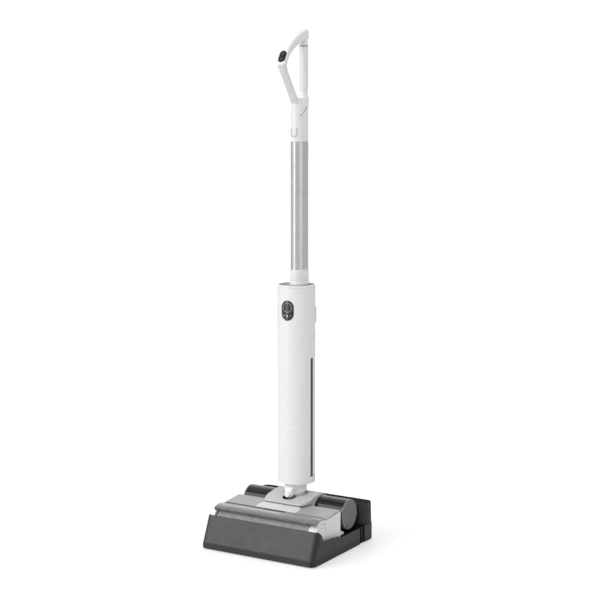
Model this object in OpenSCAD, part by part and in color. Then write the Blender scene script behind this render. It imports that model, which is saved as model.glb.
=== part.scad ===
/* [Dock] */
// Width of the dock at its base
dock_width = 280; // [260:1:300]
// Depth of the dock at its base
dock_depth = 258; // [240:1:280]
// Height of the leaning front wall
front_height = 70; // [60:1:80]
// Height of the upright skirt under the front wall
skirt_height = 15; // [10:1:20]
// How far the front wall leans back at its top
front_lean = 23; // [15:1:30]
// Height of the low side walls beside the canisters
side_height = 38; // [30:1:38]
// Height of the rear housing
tower_height = 85; // [78:1:90]
// Depth of the rear housing
tower_depth = 41; // [36:1:44]
// Wall thickness of the dock
dock_wall = 2.7; // [2:0.1:3.5]
// Height of the tray floor under the wheels
tray_floor = 16; // [14:1:18]

/* [Head] */
// Half of the width of the cleaning head
head_half = 128; // [120:1:130]
// Distance of the roller axis in front of the centre
roller_forward = 74.5; // [72:0.5:78]
// Height of the roller axis
roller_height = 49; // [47:1:51]
// Radius of the roller over its felt
roller_radius = 29.5; // [28:0.5:30]
// Radius of the roller core
core_radius = 22; // [20:0.5:24]
// Outer radius of the clear roller window
window_radius = 40.2; // [39:0.1:41]

/* [Canisters] */
// Distance of the canister axis behind the centre
hub_back = 45; // [43:1:47]
// Height of the canister axis
hub_height = 72; // [70:1:74]
// Radius of each canister
canister_radius = 32; // [30:0.5:33]
// Radius of the pivot hub
hub_radius = 28; // [26:0.5:29]
// Running clearance of the turning fits
running_gap = 0.06; // [0.03:0.01:0.09]

/* [Body] */
// Radius of the body
body_radius = 40.4; // [38:0.1:42]
// Distance of the body axis behind the centre
body_back = 34; // [32:1:36]
// Height of the underside of the body
body_bottom = 132; // [130:1:136]
// Height of the top of the body shell
body_top = 556; // [550:1:560]
// Height of the top of the clean-water tank
tank_top = 451.4; // [440:0.1:455]
// Height of the roll pivot
roll_height = 110; // [109:0.5:111]

/* [Wand] */
// Distance of the wand axis behind the centre
wand_back = 47; // [45:1:49]
// Radius of the rounded sides of the wand tube
wand_radius = 14.8; // [13:0.1:16]
// Offset of the two rounded sides from the wand axis
wand_offset = 7.4; // [6:0.1:9]
// Height of the top of the visible wand tube
wand_top = 862; // [850:1:870]

/* [Handle] */
// Thickness of the handle loop from side to side
handle_width = 18; // [16:1:22]
// Height of the top of the handle
handle_top = 1100; // [1090:1:1110]
// Radius of the round rear grip
grip_radius = 9.4; // [8:0.1:10]

/* [Hidden] */
$fn = 96;
half_w = dock_width / 2;
half_d = dock_depth / 2;
lean_angle = atan(front_lean / (front_height - skirt_height));
tower_front = half_d - tower_depth;
roller_y = -roller_forward;
cover_front = -57.9;
panel_angle = 29.25;

// A profile given as back and up coordinates, drawn out along the width
module along_x(x0, x1) {
    translate([x0, 0, 0])
        rotate([90, 0, 90])
            linear_extrude(height = x1 - x0)
                children();
}

// A profile given as width and up coordinates, drawn out from front to back
module along_y(y0, y1) {
    translate([0, y1, 0])
        rotate([90, 0, 0])
            linear_extrude(height = y1 - y0)
                children();
}

// A rectangle in plan with four rounded corners
module rounded_plan(w, d, r) {
    square([w - 2 * r, d], center = true);
    square([w, d - 2 * r], center = true);
    for (sx = [-1, 1]) {
        for (sy = [-1, 1]) {
            translate([sx * (w / 2 - r), sy * (d / 2 - r)])
                circle(r = r);
        }
    }
}

// A plan with only its two front corners rounded, front edge at zero depth
module front_rounded_plan(w, d, r) {
    translate([0, r + (d - r) / 2])
        square([w, d - r], center = true);
    translate([0, r])
        square([w - 2 * r, 2 * r], center = true);
    for (sx = [-1, 1]) {
        translate([sx * (w / 2 - r), r])
            circle(r = r);
    }
}

// The rounded oval of the wand in plan
module wand_plan(r) {
    translate([0, wand_back])
        square([2 * r, 2 * wand_offset], center = true);
    translate([0, wand_back - wand_offset])
        circle(r = r);
    translate([0, wand_back + wand_offset])
        circle(r = r);
}

// An upright pill shape in width and up coordinates
module pill(w, h) {
    square([w, h - w], center = true);
    translate([0, (h - w) / 2])
        circle(r = w / 2);
    translate([0, -(h - w) / 2])
        circle(r = w / 2);
}

// The solid outside of the dock below the rear housing, shrunk by t
module dock_body(t) {
    intersection() {
        translate([0, 0, 2])
            linear_extrude(height = 100)
                rounded_plan(dock_width - 2 * t, dock_depth - 2 * t, 12 - t);
        translate([0, t - half_d, skirt_height])
            rotate([-lean_angle, 0, 0])
                translate([0, 0, -60])
                    linear_extrude(height = 200)
                        front_rounded_plan(dock_width - 2 * t, 400, 14 - t);
    }
}

module dock_tray() {
    color("#454547")
    difference() {
        intersection() {
            dock_body(0);
            along_x(-150, 150)
                polygon([
                    [-half_d - 1, 2], [-half_d - 1, front_height], [-half_d + front_lean + 5, front_height],
                    [-95, 63], [-88, 50], [-26, 44], [-19, side_height + 1.5], [-12, side_height],
                    [half_d + 1, side_height], [half_d + 1, 2]
                ]);
        }
        intersection() {
            dock_body(dock_wall);
            along_x(-150, 150)
                polygon([
                    [-half_d - 1, 8], [-half_d - 1, 120], [half_d + 1, 120], [half_d + 1, tray_floor],
                    [-38, tray_floor], [-44, 8]
                ]);
        }
        intersection() {
            translate([0, 0, 1])
                linear_extrude(height = 100)
                    rounded_plan(dock_width - 2 * dock_wall, dock_depth - 2 * dock_wall, 9);
            along_x(-150, 150)
                polygon([
                    [-half_d, 0], [-half_d, 5.4], [-46, 5.4], [-40, tray_floor - 2.6],
                    [half_d, tray_floor - 2.6], [half_d, 0]
                ]);
        }
        for (sx = [-1, 1]) {
            translate([sx * half_w, 76, 19])
                cube([3, 7, 40], center = true);
            translate([sx * half_w, 86, 19])
                cube([3, 5, 40], center = true);
        }
    }
    color("#454547")
    for (sx = [-1, 1]) {
        for (sy = [-30, 90]) {
            translate([sx * 100, sy, 4.2])
                difference() {
                    cylinder(r = 4, h = tray_floor - 6.6);
                    translate([0, 0, -1])
                        cylinder(r = 1.6, h = tray_floor - 7);
                }
        }
    }
}

module dock_rear_housing() {
    color("#38383a")
    difference() {
        union() {
            translate([0, tower_front, side_height])
                linear_extrude(height = tower_height - side_height)
                    intersection() {
                        front_rounded_plan(dock_width - 5, tower_depth - 1, 20);
                        translate([0, tower_depth - half_d - 1])
                            rounded_plan(dock_width - 5, dock_depth, 11);
                    }
            translate([0, tower_front + 0.5, tray_floor])
                linear_extrude(height = side_height - tray_floor)
                    intersection() {
                        front_rounded_plan(dock_width - 6, tower_depth - 3.5, 19);
                        translate([0, tower_depth - 3.5 - half_d])
                            rounded_plan(dock_width - 6, dock_depth, 9.6);
                    }
        }
        translate([0, tower_front + 3, tray_floor - 1])
            linear_extrude(height = tower_height - tray_floor - 1.6)
                front_rounded_plan(dock_width - 11, tower_depth - 8.5, 16.5);
        translate([100, half_d, 50])
            rotate([90, 0, 0])
                cylinder(r = 6.1, h = 12, center = true);
    }
}

module dock_base_plate() {
    color("#2b2b2d")
    difference() {
        translate([0, 0, 2])
            linear_extrude(height = 2.2)
                rounded_plan(dock_width - 2 * dock_wall - 1, dock_depth - 2 * dock_wall - 1, 8.5);
        for (sx = [-1, 1]) {
            for (sy = [-30, 90]) {
                translate([sx * 100, sy, 1])
                    cylinder(r = 3.2, h = 5);
            }
        }
    }
}

module dock_feet() {
    color("#1c1c1e")
    for (sx = [-1, 1]) {
        for (sy = [-1, 1]) {
            translate([sx * 116, sy * 106, 0])
                cylinder(r = 9, h = 2);
        }
    }
}

module dock_screws() {
    color("#9a9a9e")
    for (sx = [-1, 1]) {
        for (sy = [-30, 90]) {
            translate([sx * 100, sy, 2.3])
                difference() {
                    union() {
                        cylinder(r = 3.1, h = 1.9);
                        cylinder(r = 1.55, h = 8);
                    }
                    translate([0, 0, -0.2])
                        cylinder(r = 1.1, h = 1.2);
                }
        }
    }
}

module dock_contact_block() {
    color("#202022")
    difference() {
        translate([0, 40, tray_floor + 0.5])
            cube([34, 14, 1], center = true);
        for (sx = [-1, 1]) {
            translate([sx * 9, 40, tray_floor - 1])
                cylinder(r = 2.6, h = 4);
        }
    }
}

module dock_contact_pins() {
    color("#c9a64a")
    for (sx = [-1, 1]) {
        translate([sx * 9, 40, tray_floor])
            cylinder(r = 2.6, h = 1.45);
    }
}

module dock_circuit_board() {
    color("#2f6b3c")
    translate([-60, 106, 58])
        cube([100, 1.6, 34], center = true);
    color("#1d1d1f")
    for (i = [-1, 0, 1]) {
        translate([-60 + i * 30, 109.3, 56])
            cube([16, 5, 14], center = true);
    }
}

module dock_power_inlet() {
    color("#161618")
    translate([100, 0, 50])
        difference() {
            union() {
                translate([0, half_d - 1, 0])
                    rotate([90, 0, 0])
                        cylinder(r = 6, h = 6);
                translate([0, half_d - 12, 0])
                    cube([14, 10, 14], center = true);
            }
            translate([0, half_d, 0])
                rotate([90, 0, 0])
                    cylinder(r = 2.75, h = 11);
        }
}

// Outline of the head's side panel in back and up coordinates
module side_panel_outline() {
    intersection() {
        union() {
            translate([roller_y, roller_height])
                circle(r = 30.2);
            polygon([
                [roller_y + 12, 18], [3.5, 18], [3.5, 88.6], [cover_front, 83.9], [cover_front, 72],
                [roller_y + 4, 72]
            ]);
        }
        translate([-120, 18])
            square([140, 100]);
    }
}

module head_chassis() {
    color("#d6d7d9")
    difference() {
        union() {
            along_x(head_half - 2.6, head_half)
                side_panel_outline();
            along_x(-head_half, -head_half + 2.6)
                side_panel_outline();
            along_x(-head_half, head_half)
                intersection() {
                    difference() {
                        translate([roller_y, roller_height])
                            circle(r = 36);
                        translate([roller_y, roller_height])
                            circle(r = 33.5);
                    }
                    polygon([[roller_y, roller_height], [-58, 18], [-30, 18], [-30, 76]]);
                }
            along_x(-head_half, head_half)
                polygon([[-57, 18], [-57, 20.5], [1, 20.5], [1, 88], [3.5, 88.3], [3.5, 18]]);
            along_x(-head_half, head_half)
                polygon([[-46.4, 66], [-43.8, 66], [-43.8, 84.8], [-46.4, 84.6]]);
            along_x(-30, 30)
                polygon([
                    [2, 18], [70, 18], [70, 34], [64, 40], [60, 46], [30, 46], [24, 34], [2, 34]
                ]);
            for (sx = [-1, 1]) {
                translate([sx * 47, 0, 0])
                    along_x(-2.4, 2.4)
                        polygon([
                            [2, 20], [68, 20], [68, 34], [62, 40], [58, 44], [30, 44], [24, 34], [2, 34]
                        ]);
            }
        }
        translate([0, hub_back, hub_height])
            rotate([0, 90, 0])
                cylinder(r = hub_radius, h = 120, center = true);
        translate([head_half, roller_y, roller_height])
            rotate([0, 90, 0])
                cylinder(r = 22, h = 12, center = true);
        translate([-head_half, roller_y, roller_height])
            rotate([0, 90, 0])
                cylinder(r = 8, h = 12, center = true);
        translate([0, 58, 27.3])
            rotate([0, 90, 0])
                cylinder(r = 2, h = 140, center = true);
        translate([0, 0, 57])
            translate([0, 2, 0])
                rotate([90, 0, 0])
                    cylinder(r = 9, h = 12, center = true);
    }
}

module head_top_cover() {
    color("#d9dadc")
    difference() {
        along_x(-head_half, head_half)
            polygon([
                [cover_front, 84.2], [cover_front, 86.9], [1.5, 91.8], [4.5, 90.4], [4.5, 84], [3.7, 84],
                [3.7, 89.0]
            ]);
        translate([0, cover_front + 1.6, 86])
            cube([54.4, 5, 12], center = true);
    }
}

module cover_tongue() {
    color("#f0f0f1")
    intersection() {
        along_x(-50, 50)
            polygon([[-24, 89.69], [-24, 92.5], [-50, 90.2], [-53.5, 87.8], [-53.5, 87.27]]);
        linear_extrude(height = 120)
            polygon([[-44, -24], [-40, -54], [40, -54], [44, -24]]);
    }
}

module window_latch() {
    color("#b5b6b8")
    translate([0, cover_front + 1.9, 86])
        cube([53.6, 3.6, 2.6], center = true);
}

module roller_window() {
    color("#c8d2d8", 0.35)
    difference() {
        union() {
            along_x(-head_half, head_half)
                intersection() {
                    difference() {
                        translate([roller_y, roller_height])
                            circle(r = window_radius);
                        translate([roller_y, roller_height])
                            circle(r = window_radius - 2.2);
                    }
                    polygon([
                        [roller_y, roller_height], [cover_front - 0.4, 84], [cover_front - 0.4, 110],
                        [-110, 110], [-104, 97]
                    ]);
                }
            for (sx = [-1, 1]) {
                translate([sx * (head_half - 1.3), 0, 0])
                    along_x(-1.3, 1.3)
                        intersection() {
                            difference() {
                                translate([roller_y, roller_height])
                                    circle(r = window_radius - 1);
                                translate([roller_y, roller_height])
                                    circle(r = 30.9);
                            }
                            polygon([
                                [roller_y, roller_height], [-61.5, 75], [-58.6, 84], [-58.6, 110],
                                [-110, 110], [-102, 93]
                            ]);
                        }
            }
        }
    }
}

module roller_core() {
    color("#3a3b3e")
    translate([0, roller_y, roller_height])
        rotate([0, 90, 0])
            difference() {
                translate([0, 0, -121])
                    cylinder(r = core_radius, h = 228.5);
                translate([0, 0, -122])
                    cylinder(r = 17 + running_gap, h = 20);
                translate([0, 0, -112])
                    cylinder(r = core_radius - 2, h = 103);
                translate([0, 0, -4])
                    cylinder(r = core_radius - 2, h = 101);
                translate([0, 0, -20])
                    cylinder(r = 5, h = 30);
                translate([0, 0, 90])
                    cylinder(r = 8 + running_gap, h = 30);
            }
}

module roller_sleeve() {
    color("#b9babd")
    translate([0, roller_y, roller_height])
        rotate([0, 90, 0])
            difference() {
                translate([0, 0, -120.5])
                    cylinder(r = roller_radius, h = 227.5);
                translate([0, 0, -122])
                    cylinder(r = core_radius, h = 231);
            }
}

module roller_drive_dog() {
    color("#8f9094")
    translate([0, roller_y, roller_height])
        rotate([0, 90, 0])
            translate([0, 0, -13.5])
                cylinder(r = 5, h = 14);
}

module roller_motor() {
    color("#6f7277")
    translate([0, roller_y, roller_height])
        rotate([0, 90, 0]) {
            translate([0, 0, -125])
                cylinder(r = 17, h = 110);
            translate([0, 0, -128])
                cylinder(r = 8, h = 4);
        }
}

module roller_end_cap() {
    color("#f2f2f3")
    translate([0, roller_y, roller_height])
        rotate([0, 90, 0])
            difference() {
                union() {
                    translate([0, 0, 108])
                        cylinder(r = 29.2, h = 17);
                    translate([0, 0, 124])
                        cylinder(r = 21.8, h = 4);
                    translate([0, 0, 97.5])
                        cylinder(r = 8, h = 12);
                }
                translate([0, 0, 107])
                    difference() {
                        cylinder(r = 27, h = 15);
                        translate([0, 0, -1])
                            cylinder(r = 8, h = 17);
                    }
            }
}

module spray_bar() {
    color("#8d9095")
    translate([-116, -50, 77.5])
        rotate([0, 90, 0])
            difference() {
                cylinder(r = 2.6, h = 222);
                translate([0, 0, 2])
                    cylinder(r = 1.5, h = 230);
            }
}

module squeegee() {
    color("#232325")
    translate([0, -52, 17.2])
        cube([236, 4, 1.6], center = true);
}

module pivot_hub() {
    color("#5c5e62")
    translate([0, hub_back, hub_height])
        rotate([0, 90, 0])
            difference() {
                union() {
                    cylinder(r = hub_radius, h = 100.4, center = true);
                    cylinder(r = 12, h = 116, center = true);
                }
                cylinder(r = 8.5, h = 130, center = true);
            }
}

module wheel(side) {
    translate([side * 37.25, 58, 27.3])
        rotate([0, 90, 0])
            difference() {
                cylinder(r = 11, h = 12.5, center = true);
                cylinder(r = 2 + running_gap, h = 14, center = true);
            }
}

module wheel_left() {
    color("#2a2a2c")
    wheel(-1);
}

module wheel_right() {
    color("#2a2a2c")
    wheel(1);
}

module wheel_axles() {
    color("#a8a9ad")
    for (sx = [-1, 1]) {
        translate([sx * 37.2, 58, 27.3])
            rotate([0, 90, 0])
                cylinder(r = 2, h = 24.4, center = true);
    }
}

module head_contacts() {
    color("#c9a64a")
    for (sx = [-1, 1]) {
        translate([sx * 9, 40, 17.875])
            cube([9, 9, 0.25], center = true);
    }
}

module canister(side) {
    translate([0, hub_back, hub_height])
        rotate([0, side * 90, 0])
            difference() {
                translate([0, 0, 57])
                    cylinder(r = canister_radius, h = 66.5);
                translate([0, 0, 59.5])
                    cylinder(r = canister_radius - 2, h = 70);
                translate([0, 0, 50])
                    cylinder(r = 12.5, h = 20);
            }
}

module canister_left() {
    color("#3b3d41", 0.5)
    canister(-1);
}

module canister_right() {
    color("#3b3d41", 0.5)
    canister(1);
}

module canister_cap(side) {
    translate([0, hub_back, hub_height])
        rotate([0, side * 90, 0])
            difference() {
                union() {
                    translate([0, 0, 123.5])
                        cylinder(r = canister_radius, h = 2.5);
                    translate([0, 0, 119])
                        cylinder(r = canister_radius - 2.1, h = 5);
                }
                translate([0, 0, 118])
                    cylinder(r = canister_radius - 4, h = 5.5);
                translate([side * 24, -12, 124])
                    cylinder(r = 2.2, h = 4);
            }
}

module canister_cap_left() {
    color("#66686b")
    canister_cap(-1);
}

module canister_cap_right() {
    color("#66686b")
    canister_cap(1);
}

module canister_filter(side) {
    translate([0, hub_back, hub_height])
        rotate([0, side * 90, 0])
            difference() {
                union() {
                    translate([0, 0, 59.5])
                        cylinder(r = 20, h = 2.5);
                    translate([0, 0, 61])
                        cylinder(r = 15, h = 40);
                }
                translate([0, 0, 58])
                    cylinder(r = 12.5, h = 41);
            }
}

module canister_filter_left() {
    color("#4f5257")
    canister_filter(-1);
}

module canister_filter_right() {
    color("#4f5257")
    canister_filter(1);
}

module yoke_saddle() {
    color("#dcdde0")
    difference() {
        union() {
            along_x(-55, 55)
                intersection() {
                    translate([hub_back, hub_height])
                        circle(r = 35.5);
                    translate([0, hub_height])
                        square([100, 50]);
                }
            intersection() {
                along_x(-55, 55)
                    polygon([
                        [-24, 93.1], [-22.5, 97], [30, 107.6], [50, 108.2], [66, 96], [66, 80], [11, 75],
                        [9.2, 84], [7, 93.1]
                    ]);
                linear_extrude(height = 130)
                    polygon([[-45, -25], [45, -25], [54, 12], [54, 80], [-54, 80], [-54, 12]]);
            }
            for (sx = [-1, 1]) {
                translate([sx * 52.5, hub_back, hub_height])
                    rotate([0, 90, 0])
                        cylinder(r = 34.4, h = 3.8, center = true);
            }
        }
        translate([0, hub_back, hub_height])
            rotate([0, 90, 0])
                cylinder(r = hub_radius + running_gap, h = 101.2, center = true);
        translate([0, hub_back, hub_height])
            rotate([0, 90, 0])
                cylinder(r = 12 + running_gap, h = 130, center = true);
        translate([0, 33, 105.2])
            cylinder(r = 27.5, h = 20);
        along_y(-5, 13.8)
            translate([0, 113])
                circle(r = 16);
        translate([0, 41, 108])
            cube([19, 34, 20], center = true);
    }
    color("#dcdde0")
    difference() {
        along_y(13.9, 24.1)
            union() {
                translate([0, roll_height])
                    circle(r = 8.5);
                translate([-8, 90])
                    square([16, 20]);
            }
        along_y(10, 30)
            translate([0, roll_height])
                circle(r = 4 + running_gap);
        translate([0, hub_back, hub_height])
            rotate([0, 90, 0])
                cylinder(r = hub_radius + running_gap, h = 101.2, center = true);
    }
}

module roll_pin() {
    color("#e8e8ea")
    along_y(-5, 55)
        translate([0, roll_height])
            circle(r = 4);
    color("#e8e8ea")
    along_y(-6.5, -4)
        translate([0, roll_height])
            circle(r = 6);
}

module neck_collar() {
    color("#f1f1f3")
    difference() {
        union() {
            translate([0, 33, 114])
                cylinder(r = 24, h = 18);
            along_y(-4, 13.4) {
                translate([0, roll_height])
                    circle(r = 9);
                translate([-9, roll_height])
                    square([18, body_bottom - roll_height]);
            }
            along_y(24.6, 57) {
                translate([0, roll_height])
                    circle(r = 8.5);
                translate([-8.5, roll_height])
                    square([17, 8]);
            }
        }
        translate([0, 19, 104.5])
            cube([60, 11.2, 30], center = true);
        along_y(-8, 55)
            translate([0, roll_height])
                circle(r = 4);
        translate([0, 41, 121])
            cylinder(r = 9.5, h = 20);
    }
}

module body_lower_ring() {
    color("#f1f1f3")
    translate([0, body_back, body_bottom])
        difference() {
            cylinder(r = body_radius, h = 14);
            translate([0, 0, 3])
                cylinder(r = body_radius - 2.6, h = 20);
            translate([0, 7, -1])
                cylinder(r = 9.5, h = 10);
        }
}

module body_front_shell() {
    color("#f5f5f7")
    difference() {
        union() {
            difference() {
                translate([0, body_back, 146])
                    cylinder(r = body_radius, h = body_top - 146);
                translate([0, body_back, 145])
                    cylinder(r = body_radius - 2.6, h = body_top - 144);
                translate([-60, 27.2, 100])
                    cube([120, 60, tank_top + 0.6 - 100]);
            }
            intersection() {
                translate([0, body_back, 146])
                    cylinder(r = body_radius - 2.6, h = body_top - 146);
                translate([-60, 24.6, 146])
                    cube([120, 2.6, tank_top + 0.6 - 146]);
            }
            translate([0, body_back, tank_top + 0.6])
                intersection() {
                    cylinder(r = body_radius - 2.6, h = 2.6);
                    translate([-60, 24.6 - body_back, 0])
                        cube([120, 80, 3]);
                }
        }
        intersection() {
            along_y(-20, 10)
                translate([0, 507])
                    pill(28, 42);
            difference() {
                translate([0, body_back, 400])
                    cylinder(r = body_radius + 1, h = 200);
                translate([0, body_back, 399])
                    cylinder(r = body_radius - 1.3, h = 202);
            }
        }
    }
}

module body_top_cap() {
    color("#efeff1")
    translate([0, body_back, body_top])
        difference() {
            cylinder(r = body_radius, h = 5);
            translate([0, 0, 2.6])
                cylinder(r = body_radius - 2.8, h = 5);
        }
}

module display_panel() {
    color("#0c0c0e")
    intersection() {
        along_y(-20, 10)
            translate([0, 507])
                pill(27.8, 41.8);
        difference() {
            translate([0, body_back, 400])
                cylinder(r = body_radius + 0.2, h = 200);
            translate([0, body_back, 399])
                cylinder(r = body_radius - 1.3, h = 202);
        }
    }
}

module display_ring() {
    color("#e6eef2")
    intersection() {
        along_y(-20, 10)
            translate([0, 513])
                difference() {
                    circle(r = 9.8);
                    circle(r = 8.4);
                }
        difference() {
            translate([0, body_back, 400])
                cylinder(r = body_radius + 0.5, h = 200);
            translate([0, body_back, 399])
                cylinder(r = body_radius + 0.2, h = 202);
        }
    }
}

module exhaust_grille() {
    color("#d2d3d5")
    difference() {
        intersection() {
            translate([0, body_back, 477])
                difference() {
                    cylinder(r = body_radius + 4, h = 35);
                    translate([0, 0, -1])
                        cylinder(r = body_radius, h = 40);
                }
            translate([-17, 50, 470])
                cube([34, 40, 60]);
        }
        for (i = [0:5]) {
            translate([0, 79, 482 + i * 5])
                cube([24, 5, 2], center = true);
        }
    }
}

module suction_motor() {
    color("#77797e")
    translate([0, 36, 470]) {
        cylinder(r = 26, h = 60);
        cylinder(r = 3, h = 78);
    }
}

module suction_impeller() {
    color("#3f4145")
    translate([0, 36, 534])
        difference() {
            union() {
                cylinder(r = 24, h = 2);
                cylinder(r = 7, h = 12);
                for (i = [0:8]) {
                    rotate([0, 0, i * 40])
                        translate([14, 0, 6.5])
                            cube([18, 1.4, 11], center = true);
                }
            }
            translate([0, 0, -1])
                cylinder(r = 3 + running_gap, h = 20);
        }
}

module battery_pack() {
    color("#3f7fb0")
    for (sx = [-1, 1]) {
        for (i = [0:2]) {
            translate([sx * 19.5, 15, 190 + i * 66])
                cylinder(r = 9.2, h = 65);
        }
    }
}

module main_board() {
    color("#2f6b3c")
    translate([0, 21, 420])
        cube([50, 1.6, 52], center = true);
}

module water_pump() {
    color("#54575c")
    translate([19.5, 15, 150]) {
        cylinder(r = 9, h = 26);
        translate([0, 0, 26])
            cylinder(r = 3, h = 8);
    }
}

module air_duct() {
    color("#606266")
    translate([0, 8, 147])
        difference() {
            cylinder(r = 8.5, h = 318);
            translate([0, 0, -1])
                cylinder(r = 7, h = 320);
        }
}

// The rear part of the body circle, from a flat front face
module tank_plan(r, front) {
    intersection() {
        translate([0, body_back])
            circle(r = r);
        translate([-60, front])
            square([120, 60]);
    }
}

module clean_tank_shell() {
    color("#2c2e32", 0.6)
    difference() {
        translate([0, 0, 147])
            linear_extrude(height = 258)
                tank_plan(body_radius, 27.7);
        translate([0, 0, 149])
            linear_extrude(height = 300)
                tank_plan(36.4, 29.7);
        difference() {
            translate([-60, 35.4, 140])
                cube([120, 60, 280]);
            translate([0, body_back, 130])
                cylinder(r = 38.4, h = 300);
        }
    }
}

module clean_tank_back() {
    color("#f1f1f3")
    difference() {
        translate([0, 0, 147])
            linear_extrude(height = 258)
                tank_plan(body_radius, 35.6);
        translate([0, body_back, 140])
            cylinder(r = 38.5, h = 300);
    }
}

module clean_tank_cap() {
    color("#f3f3f5")
    difference() {
        translate([0, 0, 405])
            linear_extrude(height = tank_top - 405)
                tank_plan(body_radius, 27.7);
        translate([0, 0, 404])
            linear_extrude(height = tank_top - 407)
                tank_plan(36.8, 30.2);
        translate([0, 70, 419])
            rotate([90, 0, 0])
                cylinder(r = 7.1, h = 16, center = true);
        translate([0, 74, 439])
            cube([24.6, 8, 10.6], center = true);
    }
}

module tank_plug() {
    color("#8f9195")
    along_y(67, 75.2)
        translate([0, 419])
            circle(r = 7);
}

module tank_latch() {
    color("#c9cacc")
    translate([0, 73.5, 439])
        cube([24, 3.6, 10], center = true);
}

module wand_lower_collar() {
    color("#eeeef0")
    difference() {
        union() {
            translate([0, 0, body_top + 2.6])
                linear_extrude(height = 6)
                    wand_plan(wand_radius + 2);
            translate([0, 0, body_top + 8])
                linear_extrude(height = 28)
                    wand_plan(wand_radius + 1.2);
        }
        translate([0, 0, body_top + 6])
            linear_extrude(height = 60)
                wand_plan(wand_radius);
    }
}

module wand_tube() {
    color("#b9bbbe")
    difference() {
        union() {
            translate([0, 0, body_top + 6])
                linear_extrude(height = wand_top - body_top - 6)
                    wand_plan(wand_radius);
            translate([0, 0, wand_top - 4])
                linear_extrude(height = 67)
                    wand_plan(wand_radius - 2.2);
        }
        translate([0, 0, body_top])
            linear_extrude(height = wand_top - body_top - 4)
                wand_plan(wand_radius - 1.4);
        translate([0, 0, wand_top - 10])
            linear_extrude(height = 100)
                wand_plan(wand_radius - 3.6);
        translate([0, 26, 890])
            cube([14.4, 8, 34], center = true);
    }
}

module handle_outline() {
    polygon([
        [25, 925], [27.6, 940], [-29.3, 1020], [-29.8, 1023], [-13, 1053], [-7.8, 1058.5], [4, 1069],
        [16, 1078], [32, 1086.5], [48, 1093], [60, 1098], [66, handle_top], [71, 1098.5],
        [73.5, 1093], [73.5, 945], [69.2, 925]
    ]);
}

module handle_opening() {
    polygon([
        [-14.5, 1019], [-14, 1014], [-5.4, 1000.5], [4.5, 986.5], [14.4, 972.6], [24, 960.6],
        [31, 955.4], [40, 954], [49, 959.5], [54.7, 969], [54.7, 1058], [50, 1064], [34.5, 1064.8],
        [18.5, 1057], [6.6, 1048], [-5.3, 1037.5], [-12.6, 1026]
    ]);
}

// Places its child on the sloping face that carries the buttons
module on_panel_face() {
    translate([0, -21.4, 1038])
        rotate([-panel_angle, 0, 0])
            children();
}

module handle_frame() {
    color("#f1f1f3")
    difference() {
        union() {
            along_x(-handle_width / 2, handle_width / 2)
                difference() {
                    handle_outline();
                    handle_opening();
                }
            translate([0, 0, wand_top + 0.3])
                linear_extrude(height = 78)
                    wand_plan(wand_radius + 0.2);
        }
        translate([0, 0, wand_top - 1])
            linear_extrude(height = 66)
                wand_plan(wand_radius - 2.1);
        translate([0, 24, 890])
            cube([13.6, 10, 28.6], center = true);
        translate([-20, 54, 968])
            cube([40, 30, 94]);
        on_panel_face()
            along_y(-4, 1.3)
                pill(16.2, 28.2);
        on_panel_face()
            along_y(-4, 3) {
                translate([0, 6.4])
                    circle(r = 5.5);
                translate([0, -6.4])
                    circle(r = 4.9);
            }
    }
    color("#f1f1f3")
    translate([0, 64.1, 967])
        cylinder(r = 6, h = 96);
}

module handle_grip() {
    color("#e9e9ec")
    translate([0, 64.1, 968])
        difference() {
            cylinder(r = grip_radius, h = 94);
            translate([0, 0, -1])
                cylinder(r = 6, h = 96);
        }
}

module handle_panel() {
    color("#121214")
    on_panel_face()
        difference() {
            along_y(-0.5, 1.3)
                pill(16, 28);
            along_y(-4, 4) {
                translate([0, 6.4])
                    circle(r = 5.5);
                translate([0, -6.4])
                    circle(r = 4.9);
            }
        }
}

module power_button() {
    color("#2d2d30")
    on_panel_face()
        along_y(-1.1, 1.5)
            translate([0, 6.4])
                circle(r = 5.2);
}

module mode_button() {
    color("#2d2d30")
    on_panel_face()
        along_y(-1.1, 1.5)
            translate([0, -6.4])
                circle(r = 4.6);
}

module handle_release_button() {
    color("#ececee")
    intersection() {
        translate([0, 25.1, 890])
            cube([13, 2, 28], center = true);
        translate([0, wand_back - wand_offset, 870])
            cylinder(r = wand_radius + 0.5, h = 40);
    }
}

dock_tray();
dock_rear_housing();
dock_base_plate();
dock_feet();
dock_screws();
dock_contact_block();
dock_contact_pins();
dock_circuit_board();
dock_power_inlet();
head_chassis();
head_top_cover();
cover_tongue();
window_latch();
roller_window();
roller_core();
roller_sleeve();
roller_drive_dog();
roller_motor();
roller_end_cap();
spray_bar();
squeegee();
pivot_hub();
wheel_left();
wheel_right();
wheel_axles();
head_contacts();
canister_left();
canister_right();
canister_cap_left();
canister_cap_right();
canister_filter_left();
canister_filter_right();
yoke_saddle();
roll_pin();
neck_collar();
body_lower_ring();
body_front_shell();
body_top_cap();
display_panel();
display_ring();
exhaust_grille();
suction_motor();
suction_impeller();
battery_pack();
main_board();
water_pump();
air_duct();
clean_tank_shell();
clean_tank_back();
clean_tank_cap();
tank_plug();
tank_latch();
wand_lower_collar();
wand_tube();
handle_frame();
handle_grip();
handle_panel();
power_button();
mode_button();
handle_release_button();
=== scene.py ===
import math
import random
import bmesh
import bpy
import numpy as np
from mathutils import Matrix, Vector


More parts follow.
